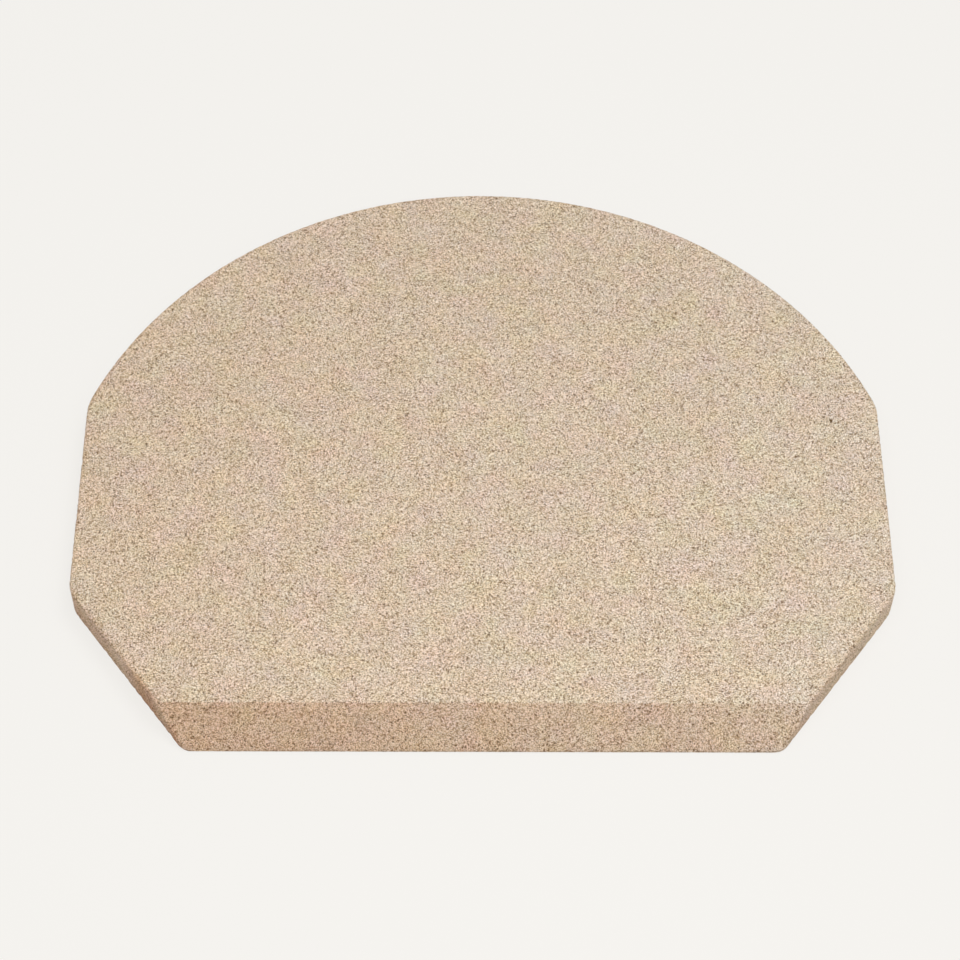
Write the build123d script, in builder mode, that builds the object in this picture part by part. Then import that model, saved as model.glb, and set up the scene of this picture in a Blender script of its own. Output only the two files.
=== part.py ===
from build123d import *
import os

# Vermiculite baffle plate of a wood stove: one board, pressed flat and sawn to shape.
# It lies on its underside. X runs across the plate, Y runs from the straight front edge
# to the arched back edge, and Z is up. The origin is on the underside, at the middle of
# the plate's width and depth. All sizes are in millimetres.

# Plan
width = 450.0              # between the two straight sides
side_length = 125.0        # straight run of each side, from the corner cut to the arch
arch_rise = 157.0          # crown of the back arch above the ends of the straight sides
corner_cut_width = 66.0    # part of the width that each cut takes off a front corner
corner_cut_length = 88.0   # part of the depth that each cut takes off a front corner

# Section
thickness = 20.0
bevel_depth = 19.0         # how far the front bevel reaches back over the upper face
bevel_land = 2.0           # blunt upright edge left below the bevel

# Corners in plan, and the rubbed arris along the edges of both faces
arch_corner_radius = 30.0  # where each straight side runs into the arch
side_corner_radius = 18.0  # where each corner cut meets a straight side
front_corner_radius = 9.0  # where each corner cut meets the front edge
arris_radius = 0.8
arris_share = 0.4          # most of the land's height that the arris may take

# Lines of the plan, from front to back
depth = corner_cut_length + side_length + arch_rise
front_y = -depth / 2
side_start_y = front_y + corner_cut_length
side_end_y = side_start_y + side_length
crown_y = side_end_y + arch_rise
side_x = width / 2
front_end_x = side_x - corner_cut_width

# A low land takes a smaller arris, as one is rubbed along its top and one along its bottom
arris = min(arris_radius, arris_share * bevel_land)

os.makedirs("parts", exist_ok=True)

with BuildPart() as baffle_plate:
    # Board sawn to its outline
    with BuildSketch() as plan:
        with BuildLine() as outline:
            front = Line((-front_end_x, front_y), (front_end_x, front_y))
            right_cut = Line(front @ 1, (side_x, side_start_y))
            right_side = Line(right_cut @ 1, (side_x, side_end_y))
            arch = ThreePointArc(right_side @ 1, (0, crown_y), (-side_x, side_end_y))
            left_side = Line(arch @ 1, (-side_x, side_start_y))
            left_cut = Line(left_side @ 1, front @ 0)
        make_face()
        # Rounded corners from back to front, so that those not yet rounded stay foremost
        fillet(plan.vertices().group_by(Axis.Y)[2], arch_corner_radius)
        fillet(plan.vertices().group_by(Axis.Y)[1], side_corner_radius)
        fillet(plan.vertices().group_by(Axis.Y)[0], front_corner_radius)
    extrude(amount=thickness)

    # Front bevel: one sloping saw cut that runs out through both corner cuts
    bevel_plane = Plane(
        origin=(0, front_y, bevel_land),
        x_dir=(1, 0, 0),
        z_dir=(0, bevel_land - thickness, bevel_depth),
    )
    split(bisect_by=bevel_plane, keep=Keep.BOTTOM)

    # Arrises of the underside, the upper face and the bevel; the upright edges stay as they are
    fillet(baffle_plate.edges().filter_by(Axis.Z, reverse=True), arris)

baffle_plate.part.label = "baffle_plate"
export_step(baffle_plate.part, "parts/baffle_plate.step")
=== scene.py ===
import math

import bpy
import numpy as np
from mathutils import Matrix, Vector
from mathutils.geometry import delaunay_2d_cdt


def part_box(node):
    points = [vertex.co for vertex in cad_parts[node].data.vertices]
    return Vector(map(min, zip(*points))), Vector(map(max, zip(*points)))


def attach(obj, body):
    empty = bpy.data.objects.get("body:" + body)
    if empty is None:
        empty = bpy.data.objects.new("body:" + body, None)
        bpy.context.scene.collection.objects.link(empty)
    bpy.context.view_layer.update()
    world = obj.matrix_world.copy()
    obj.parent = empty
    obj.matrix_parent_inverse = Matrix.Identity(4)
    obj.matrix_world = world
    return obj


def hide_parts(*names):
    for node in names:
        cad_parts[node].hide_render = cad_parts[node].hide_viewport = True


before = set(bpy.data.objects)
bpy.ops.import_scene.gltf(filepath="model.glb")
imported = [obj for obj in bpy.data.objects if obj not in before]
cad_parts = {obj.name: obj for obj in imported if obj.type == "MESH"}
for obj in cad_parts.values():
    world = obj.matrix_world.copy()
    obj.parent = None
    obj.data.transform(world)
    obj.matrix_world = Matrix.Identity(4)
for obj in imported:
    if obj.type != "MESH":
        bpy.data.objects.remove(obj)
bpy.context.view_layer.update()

# A baffle plate of pressed vermiculite. Lengths are in metres, in the frame's own axes:
# X across the plate, Y from its bevelled front edge to its arched back edge, Z up.

# Plan and section
NODE = "baffle_plate"
PLATE_LOW, PLATE_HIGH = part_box(NODE)
SIDE_X = PLATE_HIGH.x
FRONT_Y = PLATE_LOW.y
BACK_Y = PLATE_HIGH.y
THICKNESS = PLATE_HIGH.z - PLATE_LOW.z
CORNER_CUT_WIDTH = 0.066
CORNER_CUT_LENGTH = 0.088
SIDE_LENGTH = 0.125
ARCH_CORNER_RADIUS = 0.030
SIDE_CORNER_RADIUS = 0.018
FRONT_CORNER_RADIUS = 0.009
BEVEL_DEPTH = 0.019
BEVEL_LAND = 0.002
BEVEL_TOP_Y = FRONT_Y + BEVEL_DEPTH
ARRIS = 0.0008
BEVEL_ARRIS = 0.0003      # half the width of the arris along the top of the bevel

# Mesh: how far apart its points lie
UPPER_STEP = 0.0016
UNDER_STEP = 0.0034
RIM_STEP = 0.0015
ARC_STEP = 0.0002         # along the curves, before the outline is divided evenly
WALL_ROWS = 9
ROW_WANDER = 0.16         # of the wall's height, less towards its top and bottom
JITTER = 0.32             # of a step, to each side
RIM_CLEARANCE = 0.7       # of a step, between scattered points and the arris
CRUMB_CLEARANCE = 0.6     # of a step, round the dark crumb
BEVEL_CLEARANCE = 0.7     # of a step, to each side of the top of the bevel
BEVEL_ROW_STEP = 0.7      # of a step, along the rows of points there
MERGE_DISTANCE = 1e-9     # points closer than this count as one
INSIDE_ONLY = 1           # the triangulation's output: the triangles inside the rim

# Relief, all of it cut into the board
GRAIN_DEPTH = 0.00006
PIT_DEPTH = (0.00030, 0.00085)
PIT_SHARE = 0.045         # of the points of the faces and the bevel
WALL_PIT_SHARE = 0.20     # of the points of the sawn sides
CRUMBLE_DEPTH = 0.00028   # along the arrises
SEED = 20

# The one dark crumb that stands out on the upper face, near its right side
DARK_CRUMB = (0.198, 0.018)
DARK_CRUMB_PIT = 2.3      # times a full pit, which makes it dark all over

# Finish; colours are linear
FLAKE_TONES = (           # from the darkest flakes to the palest
    (0.12, (0.158, 0.078, 0.020)),
    (0.32, (0.500, 0.357, 0.216)),
    (0.50, (0.750, 0.594, 0.424)),
    (0.68, (0.916, 0.771, 0.607)),
    (0.88, (0.998, 0.912, 0.803)),
)
FLAKE_SIZE = 0.0010
CRUMB_SIZE = 0.00036
CRUMB_SHARE = 0.86        # of the tone, the rest being the flakes'
MOTTLE_SIZE = 0.016
MOTTLE_DETAIL = 2.0
MOTTLE_ROUGHNESS = 0.6
MOTTLE_MIDDLE = (0.5, 0.5, 0.5)
MOTTLE_GAIN = (0.14, 0.13, 0.31)
UNCHANGED = (1, 1, 1)
STAIN_TINT = (0.985, 0.938, 0.900, 1)
# Sawn faces are browner, and this tint also darkens them as painted shade for faces turned from the light
# and their shadowed pores
SAWN_TINT_AND_SHADE = (0.885, 0.785, 0.733, 1)
SAWN_STRENGTH = (1.20, 0.50)    # at the plate's left and right ends
WALL_SAWN_AND_SHADE = (1.05, 0.65)        # how sawn a wall looks, at its bottom and its top; the rise towards the bottom is painted shade where the wall meets the floor
CUT_SAWN = (0.8, 1.8, 0.6)      # times that: on the front edge, just behind it, and past a corner cut
CUT_SAWN_START = 0.005          # how far behind the front edge a corner cut is at its brownest
PATCH_SAWN = (0.5, 1.5)         # times that, from patch to patch round the walls
PATCH_LENGTH = 0.011            # along the walls
SPECK_SPACING = 0.0031
SPECK_RADIUS = (0.20, 0.12)     # of the spacing: where a speck begins, and where it is fully dark
PIT_CORE = 0.45                 # of the deepest pit, from which a pit's bottom is painted dark as shade
# The colour of the dark specks, and of the painted shade at the bottoms of pits
DARK_SPECK_AND_SHADE = (0.120, 0.058, 0.012, 1)
ROUGHNESS = (0.95, 0.80)        # of the darkest flakes and the palest
BUMP_HEIGHT = 0.0002
BUMP_STRENGTH = 0.6

# Pale stage; the camera sees its colour mostly unlit, which keeps it even and its shadow faint
STAGE_COLOUR = (0.913, 0.896, 0.863, 1)
STAGE_UNLIT_SHARE = 0.86
STAGE_HALF = 20.0
WHITE = (1, 1, 1, 1)

# Light: each lamp's vector points to the lamp, and is as long as its share of a plain level of light
SKY_SHARE = 0.455
KEY_LIGHT = Vector((0.08, 0.05, 0.25))
KEY_DISTANCE = 6.0
KEY_SIZE = 2.4
OVERHEAD_LIGHT = Vector((0.03, -0.14, 0.335))
OVERHEAD_DISTANCE = 0.9
OVERHEAD_SIZE = 0.8

# Camera
ELEVATION = math.radians(55.6)
AZIMUTH = math.radians(0.691)
ROLL = math.radians(0.748)
DISTANCE = 1.4896
TARGET = Vector((-0.0014, -0.0097, 0.0))
FOCAL_PIXELS = 2621.0
IMAGE_PIXELS = 960


def arc(centre, radius, start, end):
    """Points along an arc, with its angles in radians."""
    turns = np.linspace(start, end, math.ceil(abs(end - start) * radius / ARC_STEP))
    return np.column_stack([centre[0] + radius * np.cos(turns), centre[1] + radius * np.sin(turns)])


def rounded_corner(before, corner, after, radius):
    """The arc that rounds a corner of a convex outline's straight edges, walked anticlockwise."""
    arriving = np.subtract(corner, before) / math.dist(corner, before)
    leaving = np.subtract(after, corner) / math.dist(after, corner)
    turn = math.acos(arriving @ leaving)
    start = corner - arriving * radius * math.tan(turn / 2)
    centre = start + radius * np.array([-arriving[1], arriving[0]])
    heading = math.atan2(arriving[1], arriving[0]) - math.pi / 2
    return arc(centre, radius, heading, heading + turn)


def plan_outline():
    """The plan's outline, anticlockwise, as evenly spaced points."""
    cut_start = (SIDE_X - CORNER_CUT_WIDTH, FRONT_Y)
    cut_end = (SIDE_X, FRONT_Y + CORNER_CUT_LENGTH)
    side_end_y = cut_end[1] + SIDE_LENGTH
    arch_rise = BACK_Y - side_end_y
    arch_radius = (SIDE_X**2 + arch_rise**2) / (2 * arch_rise)
    arch_y = BACK_Y - arch_radius
    round_x = SIDE_X - ARCH_CORNER_RADIUS
    round_y = arch_y + math.sqrt((arch_radius - ARCH_CORNER_RADIUS) ** 2 - round_x**2)
    arch_start = math.atan2(round_y - arch_y, round_x)
    right = np.vstack([
        rounded_corner((0, FRONT_Y), cut_start, cut_end, FRONT_CORNER_RADIUS),
        rounded_corner(cut_start, cut_end, (SIDE_X, side_end_y), SIDE_CORNER_RADIUS),
        arc((round_x, round_y), ARCH_CORNER_RADIUS, 0, arch_start),
        arc((0, arch_y), arch_radius, arch_start, math.pi / 2),
    ])
    left = right[::-1] * [-1, 1]
    loop = np.vstack([right, left[1:], right[:1]])
    steps = np.linalg.norm(np.diff(loop, axis=0), axis=1)
    along = np.concatenate([[0], np.cumsum(steps)])
    places = np.linspace(0, along[-1], round(along[-1] / RIM_STEP), endpoint=False)
    return np.column_stack([np.interp(places, along, coordinate) for coordinate in loop.T])


def outward(loop):
    """Outward normals of an anticlockwise loop."""
    along = np.roll(loop, -1, axis=0) - np.roll(loop, 1, axis=0)
    normal = np.column_stack([along[:, 1], -along[:, 0]])
    return normal / np.linalg.norm(normal, axis=1, keepdims=True)


def inside(points, loop, margin):
    """Which points lie inside a convex anticlockwise loop, by at least the margin."""
    keep = np.ones(len(points), bool)
    for corner, normal in zip(loop, outward(loop)):
        keep &= (points - corner) @ normal < -margin
    return keep


def upper_height(y):
    """Height of the upper face, bevel included."""
    slope = (THICKNESS - BEVEL_LAND) / BEVEL_DEPTH
    return np.minimum(THICKNESS, BEVEL_LAND + (y - FRONT_Y) * slope)


def scattered(loop, step, rng):
    """A loosely packed scatter of points inside a loop, clear of its arris."""
    low, high = loop.min(axis=0), loop.max(axis=0)
    rows = np.arange(low[1], high[1], step * math.sqrt(3) / 2)
    columns = np.arange(low[0], high[0], step)
    x = columns + (np.arange(len(rows)) % 2)[:, None] * step / 2
    y = np.broadcast_to(rows[:, None], x.shape)
    points = np.column_stack([x.ravel(), y.ravel()])
    points += rng.uniform(-JITTER, JITTER, points.shape) * step
    return points[inside(points, loop, ARRIS + RIM_CLEARANCE * step)]


def upper_points(loop, rng):
    """Scatter of the upper face, rows of points along the top of the bevel, and the dark crumb last."""
    points = scattered(loop, UPPER_STEP, rng)
    points = points[np.abs(points[:, 1] - BEVEL_TOP_Y) > BEVEL_CLEARANCE * UPPER_STEP]
    points = points[np.linalg.norm(points - DARK_CRUMB, axis=1) > CRUMB_CLEARANCE * UPPER_STEP]
    along = np.arange(-SIDE_X, SIDE_X, BEVEL_ROW_STEP * UPPER_STEP)
    rows = np.array([(x, BEVEL_TOP_Y + side * BEVEL_ARRIS) for side in (-1, 1) for x in along])
    rows = rows[inside(rows, loop, ARRIS + RIM_CLEARANCE * UPPER_STEP)]
    return np.vstack([points, rows, DARK_CRUMB])


def grain(count, pit_share, rng):
    """Depths of the relief at so many points, and how much of a pit each of them is."""
    pitted = rng.random(count) < pit_share
    pit_depth = rng.uniform(*PIT_DEPTH, count)
    depth = np.where(pitted, pit_depth, rng.random(count) * GRAIN_DEPTH)
    return depth, pitted * pit_depth / PIT_DEPTH[1]


def triangulated(plan, rim_count):
    """Triangles over a loop of points and the points inside it, which come after it in the list."""
    rim_edges = [(i, (i + 1) % rim_count) for i in range(rim_count)]
    corners = [Vector(point) for point in plan]
    result = delaunay_2d_cdt(corners, rim_edges, [], INSIDE_ONLY, MERGE_DISTANCE)
    faces, origins = result[2], result[3]
    return np.array([[origins[corner][0] for corner in face] for face in faces])


class Shell:
    """The points and triangles of one mesh, with how pitted each point is and how sawn it looks, painted
    shade included.
    """

    def __init__(self):
        self.points, self.pits, self.sawn, self.triangles = [], [], [], []
        self.count = 0

    def add_points(self, points, pit, sawn):
        """Adds points and gives the numbers that they get."""
        self.points.append(points)
        self.pits.append(np.broadcast_to(pit, len(points)))
        self.sawn.append(np.broadcast_to(sawn, len(points)))
        self.count += len(points)
        return np.arange(self.count - len(points), self.count)

    def plan(self, numbers):
        """Plan positions of the points with these numbers."""
        return np.vstack(self.points)[numbers, :2]

    def mesh(self, name):
        """The mesh, with point attributes for how pitted and how sawn each point is, the sawn one carrying
        painted shade too.
        """
        made = bpy.data.meshes.new(name)
        made.from_pydata(np.vstack(self.points).tolist(), [], np.vstack(self.triangles).tolist())
        made.shade_smooth()
        for attribute, values in (("pit", self.pits), ("sawn", self.sawn)):
            layer = made.attributes.new(attribute, "FLOAT", "POINT")
            layer.data.foreach_set("value", np.concatenate(values).astype(np.float32))
        return made


def edge_profile(loop, rng):
    """The rings of the board's edge, from the lower rim up: inset, height, and whether on the wall."""
    level = np.zeros(len(loop))
    top = upper_height(loop[:, 1])
    upper_rim = upper_height(loop[:, 1] - outward(loop)[:, 1] * ARRIS)
    # Half-way round an arris, this far in from the wall and from the face
    bend = ARRIS * (1 - math.sqrt(0.5))
    profile = [(ARRIS, level, False), (bend, level + bend, False)]
    for share in np.linspace(0, 1, WALL_ROWS):
        wander = rng.uniform(-ROW_WANDER, ROW_WANDER, len(loop)) * share * (1 - share)
        profile.append((0, ARRIS + (share + wander) * (top - 2 * ARRIS), True))
    return profile + [(bend, top - bend, False), (ARRIS, upper_rim, False)]


def patches(count, rng):
    """How much more or less sawn the walls look, patch by patch, at so many points round the loop."""
    strength = rng.uniform(*PATCH_SAWN, round(count * RIM_STEP / PATCH_LENGTH))
    places = np.linspace(0, len(strength), count, endpoint=False)
    return np.interp(places, np.arange(len(strength)), strength, period=len(strength))


def add_edge(shell, loop, rng):
    """Adds the board's edge, ring by ring, and gives the numbers of its lower and its upper rim."""
    count = len(loop)
    normal = outward(loop)
    profile = edge_profile(loop, rng)
    # Round the walls: darker just behind the front edge, lighter past the corner cuts, and more or less so
    # patch by patch
    wall_darkening = np.interp(loop[:, 1] - FRONT_Y, (0, CUT_SAWN_START, CORNER_CUT_LENGTH), CUT_SAWN)
    wall_darkening *= patches(count, rng)
    under_bevel = loop[:, 1] < BEVEL_TOP_Y
    rings = []
    for row, (inset, height, on_wall) in enumerate(profile):
        if on_wall:
            depth, pit = grain(count, WALL_PIT_SHARE, rng)
        else:
            depth, pit = rng.random(count) * CRUMBLE_DEPTH, 0
        plan = loop - normal * (inset + depth)[:, None]
        # Each wall point's sawn tint: darker towards the wall's bottom as painted shade, scaled round the
        # walls, and full under the bevel
        sawn = np.maximum(np.interp(row, (0, len(profile) - 1), WALL_SAWN_AND_SHADE) * wall_darkening, under_bevel)
        rings.append(shell.add_points(np.column_stack([plan, height]), pit, sawn))
    for lower, upper in zip(rings, rings[1:]):
        add_band(shell, lower, upper, rng)
    return rings[0], rings[-1]


def add_band(shell, lower, upper, rng):
    """Adds the triangles between two rings, each four points split along either diagonal."""
    next_lower, next_upper = np.roll(lower, -1), np.roll(upper, -1)
    rising = rng.integers(0, 2, (len(lower), 1)).astype(bool)
    shell.triangles += [
        np.where(rising, np.column_stack([lower, next_lower, next_upper]),
                 np.column_stack([lower, next_lower, upper])),
        np.where(rising, np.column_stack([lower, next_upper, upper]),
                 np.column_stack([next_lower, next_upper, upper])),
    ]


def add_upper_face(shell, loop, rim, rng):
    """Adds the upper face and the bevel inside a rim."""
    points = upper_points(loop, rng)
    depth, pit = grain(len(points), PIT_SHARE, rng)
    depth[-1] = PIT_DEPTH[1]
    pit[-1] = DARK_CRUMB_PIT
    # The bevel takes the full sawn tint, painted shade included
    sawn = points[:, 1] < BEVEL_TOP_Y
    height = upper_height(points[:, 1]) - depth
    numbers = np.concatenate([rim, shell.add_points(np.column_stack([points, height]), pit, sawn)])
    shell.triangles.append(numbers[triangulated(shell.plan(numbers), len(rim))])


def add_underside(shell, loop, rim, rng):
    """Adds the underside inside a rim."""
    points = scattered(loop, UNDER_STEP, rng)
    depth, pit = grain(len(points), PIT_SHARE, rng)
    numbers = np.concatenate([rim, shell.add_points(np.column_stack([points, depth]), pit, 0)])
    shell.triangles.append(numbers[triangulated(shell.plan(numbers), len(rim))[:, ::-1]])


def board_mesh():
    """The board as one closed mesh with its relief."""
    rng = np.random.default_rng(SEED)
    loop = plan_outline()
    shell = Shell()
    lower_rim, upper_rim = add_edge(shell, loop, rng)
    add_upper_face(shell, loop, upper_rim, rng)
    add_underside(shell, loop, lower_rim, rng)
    return shell.mesh("board")


def node(tree, kind, inputs=(), **settings):
    """Adds a shader node with its settings, and a value or a link for each input named."""
    made = tree.nodes.new("ShaderNode" + kind)
    for key, value in settings.items():
        setattr(made, key, value)
    for key, value in dict(inputs).items():
        if isinstance(value, bpy.types.NodeSocket):
            tree.links.new(value, made.inputs[key])
        else:
            made.inputs[key].default_value = value
    return made


def worked(tree, operation, *inputs, **settings):
    """The result of a Math node."""
    return node(tree, "Math", enumerate(inputs), operation=operation, **settings).outputs["Value"]


def vector_worked(tree, operation, *inputs):
    """The result of a Vector Math node."""
    return node(tree, "VectorMath", enumerate(inputs), operation=operation).outputs["Vector"]


def ranged(tree, value, start, end, low=0.0, high=1.0):
    """The value mapped, and clamped, from one range to another."""
    inputs = {"Value": value, "From Min": start, "From Max": end, "To Min": low, "To Max": high}
    return node(tree, "MapRange", inputs).outputs["Result"]


def mixed(tree, share, first, second, **settings):
    """Two colours mixed; a Mix node's sockets for them are known by their identifiers."""
    mix = node(tree, "Mix", data_type="RGBA", **settings)
    sockets = {socket.identifier: socket for socket in mix.inputs}
    tree.links.new(share, sockets["Factor_Float"])
    tree.links.new(first, sockets["A_Color"])
    sockets["B_Color"].default_value = second
    return next(socket for socket in mix.outputs if socket.identifier == "Result_Color")


def point_value(tree, name):
    """A point attribute of the mesh."""
    return node(tree, "Attribute", attribute_name=name).outputs["Fac"]


def cell_tone(tree, place, size):
    """A chance tone for each of the cells that fill the board."""
    cells = node(tree, "TexVoronoi", {"Vector": place, "Scale": 1 / size})
    return node(tree, "SeparateColor", {"Color": cells.outputs["Color"]}).outputs["Red"]


def grain_tone(tree, place):
    """Tone of the flakes with the finer crumbs between them."""
    flakes = cell_tone(tree, place, FLAKE_SIZE)
    crumbs = cell_tone(tree, place, CRUMB_SIZE)
    return node(tree, "Mix", {"Factor": CRUMB_SHARE, "A": flakes, "B": crumbs}).outputs["Result"]


def toned(tree, tone):
    """The colour of each tone."""
    ramp = node(tree, "ValToRGB", {"Fac": tone})
    stops = ramp.color_ramp.elements
    for position, _ in FLAKE_TONES[len(stops):]:
        stops.new(position)
    for stop, (position, colour) in zip(stops, FLAKE_TONES):
        stop.position = position
        stop.color = (*colour, 1)
    return ramp.outputs["Color"]


def mottled(tree, place, colour):
    """Broad, faint shifts of hue."""
    cloud = node(tree, "TexNoise", {
        "Vector": place, "Scale": 1 / MOTTLE_SIZE, "Detail": MOTTLE_DETAIL, "Roughness": MOTTLE_ROUGHNESS})
    shift = vector_worked(tree, "SUBTRACT", cloud.outputs["Color"], MOTTLE_MIDDLE)
    gain = vector_worked(tree, "MULTIPLY_ADD", shift, MOTTLE_GAIN, UNCHANGED)
    return vector_worked(tree, "MULTIPLY", colour, gain)


def browned_and_shaded(tree, place, colour):
    """The board browns slightly towards its left end, and more so where it is sawn; there the tint also
    darkens it as painted shade for faces turned from the light.
    """
    across = node(tree, "SeparateXYZ", {"Vector": place}).outputs["X"]
    stain = ranged(tree, across, SIDE_X, -SIDE_X)
    stained = mixed(tree, stain, colour, STAIN_TINT, blend_type="MULTIPLY")
    strength = ranged(tree, across, -SIDE_X, SIDE_X, *SAWN_STRENGTH)
    # How strongly the sawn tint and its painted shade apply at each point
    sawn = worked(tree, "MULTIPLY", point_value(tree, "sawn"), strength)
    return mixed(tree, sawn, stained, SAWN_TINT_AND_SHADE, blend_type="MULTIPLY", clamp_factor=False)


def specks_and_pit_shade(tree, place):
    """Where the board is dark: in its specks, and at the bottoms of its pits, where the dark is painted
    shade.
    """
    specks = node(tree, "TexVoronoi", {"Vector": place, "Scale": 1 / SPECK_SPACING})
    speck = ranged(tree, specks.outputs["Distance"], *SPECK_RADIUS)
    pit = ranged(tree, point_value(tree, "pit"), PIT_CORE, 1.0)
    return worked(tree, "MAXIMUM", speck, pit)


def empty_material(name):
    """A material with no nodes yet."""
    material = bpy.data.materials.new(name)
    material.use_nodes = True
    material.node_tree.nodes.clear()
    return material


def vermiculite():
    """Pressed vermiculite: pale and dark flakes and crumbs, browner where it is sawn, with painted shade on
    the sawn faces and at the bottoms of the pits.
    """
    material = empty_material("vermiculite")
    tree = material.node_tree
    place = node(tree, "TexCoord").outputs["Object"]
    tone = grain_tone(tree, place)
    colour = browned_and_shaded(tree, place, mottled(tree, place, toned(tree, tone)))
    # Dark specks, and painted shade at the bottoms of the pits
    colour = mixed(tree, specks_and_pit_shade(tree, place), colour, DARK_SPECK_AND_SHADE)
    roughness = ranged(tree, tone, FLAKE_TONES[0][0], FLAKE_TONES[-1][0], *ROUGHNESS)
    bump = node(tree, "Bump", {"Height": tone, "Strength": BUMP_STRENGTH, "Distance": BUMP_HEIGHT})
    shader = node(tree, "BsdfPrincipled", {
        "Base Color": colour, "Roughness": roughness, "Normal": bump.outputs["Normal"]})
    node(tree, "OutputMaterial", {"Surface": shader.outputs["BSDF"]})
    return material


def seen(tree):
    """1 for a ray that shows the backdrop itself, 0 for one that only carries its light."""
    path = node(tree, "LightPath").outputs
    seen_or_mirrored = worked(tree, "ADD", path["Is Camera Ray"], path["Is Glossy Ray"])
    return worked(tree, "ADD", seen_or_mirrored, path["Is Transmission Ray"], use_clamp=True)


def either(tree, share, first, second):
    """A share of the second shader over the first."""
    return node(tree, "MixShader", enumerate((share, first.outputs[0], second.outputs[0]))).outputs["Shader"]


def stage_material():
    """The floor's pale finish."""
    material = empty_material("stage")
    tree = material.node_tree
    unlit_share = worked(tree, "MULTIPLY", seen(tree), STAGE_UNLIT_SHARE)
    lit = node(tree, "BsdfDiffuse", {"Color": STAGE_COLOUR})
    unlit = node(tree, "Emission", {"Color": STAGE_COLOUR})
    node(tree, "OutputMaterial", {"Surface": either(tree, unlit_share, lit, unlit)})
    return material


def add(name, data):
    """Adds an object to the scene."""
    made = bpy.data.objects.new(name, data)
    bpy.context.scene.collection.objects.link(made)
    return made


def add_board():
    """The plate, in place of its CAD solid."""
    board = add("board", board_mesh())
    board.data.materials.append(vermiculite())
    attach(board, "root")
    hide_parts(NODE)


def add_floor():
    """The stage that the plate lies on."""
    mesh = bpy.data.meshes.new("floor")
    corners = [(x * STAGE_HALF, y * STAGE_HALF, 0) for x, y in ((-1, -1), (1, -1), (1, 1), (-1, 1))]
    mesh.from_pydata(corners, [], [range(len(corners))])
    floor = add("floor", mesh)
    floor.data.materials.append(stage_material())


def add_sky():
    """Even light from all round; the camera sees the stage's colour instead."""
    sky = bpy.data.worlds.new("sky")
    sky.use_nodes = True
    tree = sky.node_tree
    tree.nodes.clear()
    light = node(tree, "Background", {"Color": WHITE, "Strength": SKY_SHARE})
    backdrop = node(tree, "Background", {"Color": STAGE_COLOUR})
    node(tree, "OutputWorld", {"Surface": either(tree, seen(tree), light, backdrop)})
    bpy.context.scene.world = sky


def add_lamp(name, share, distance, size):
    """A round soft lamp that lights the middle of the plate by its share."""
    lamp = bpy.data.lights.new(name, "AREA")
    lamp.shape = "DISK"
    lamp.size = size
    # A lamp of P watts sends P / pi per steradian straight ahead; a share of 1 is pi watts per square metre
    lamp.energy = share.length * math.pi * distance**2 * math.pi
    made = add(name, lamp)
    made.location = share.normalized() * distance
    made.rotation_euler = share.to_track_quat("Z", "Y").to_euler()


def add_camera():
    """The camera, which looks down on the plate from the front."""
    turn = Matrix.Rotation(-AZIMUTH, 3, "Z")
    forward = turn @ Vector((0, math.cos(ELEVATION), -math.sin(ELEVATION)))
    level = turn @ Vector((1, 0, 0))
    upright = level.cross(forward)
    right = level * math.cos(ROLL) + upright * math.sin(ROLL)
    up = upright * math.cos(ROLL) - level * math.sin(ROLL)
    lens = bpy.data.cameras.new("camera")
    lens.lens = lens.sensor_width * FOCAL_PIXELS / IMAGE_PIXELS
    camera = add("camera", lens)
    pose = Matrix((right, up, -forward)).transposed().to_4x4()
    pose.translation = TARGET - forward * DISTANCE
    camera.matrix_world = pose
    bpy.context.scene.camera = camera


add_board()
add_floor()
add_sky()
add_lamp("key", KEY_LIGHT, KEY_DISTANCE, KEY_SIZE)
add_lamp("overhead", OVERHEAD_LIGHT, OVERHEAD_DISTANCE, OVERHEAD_SIZE)
add_camera()
bpy.context.scene.view_settings.view_transform = "Standard"
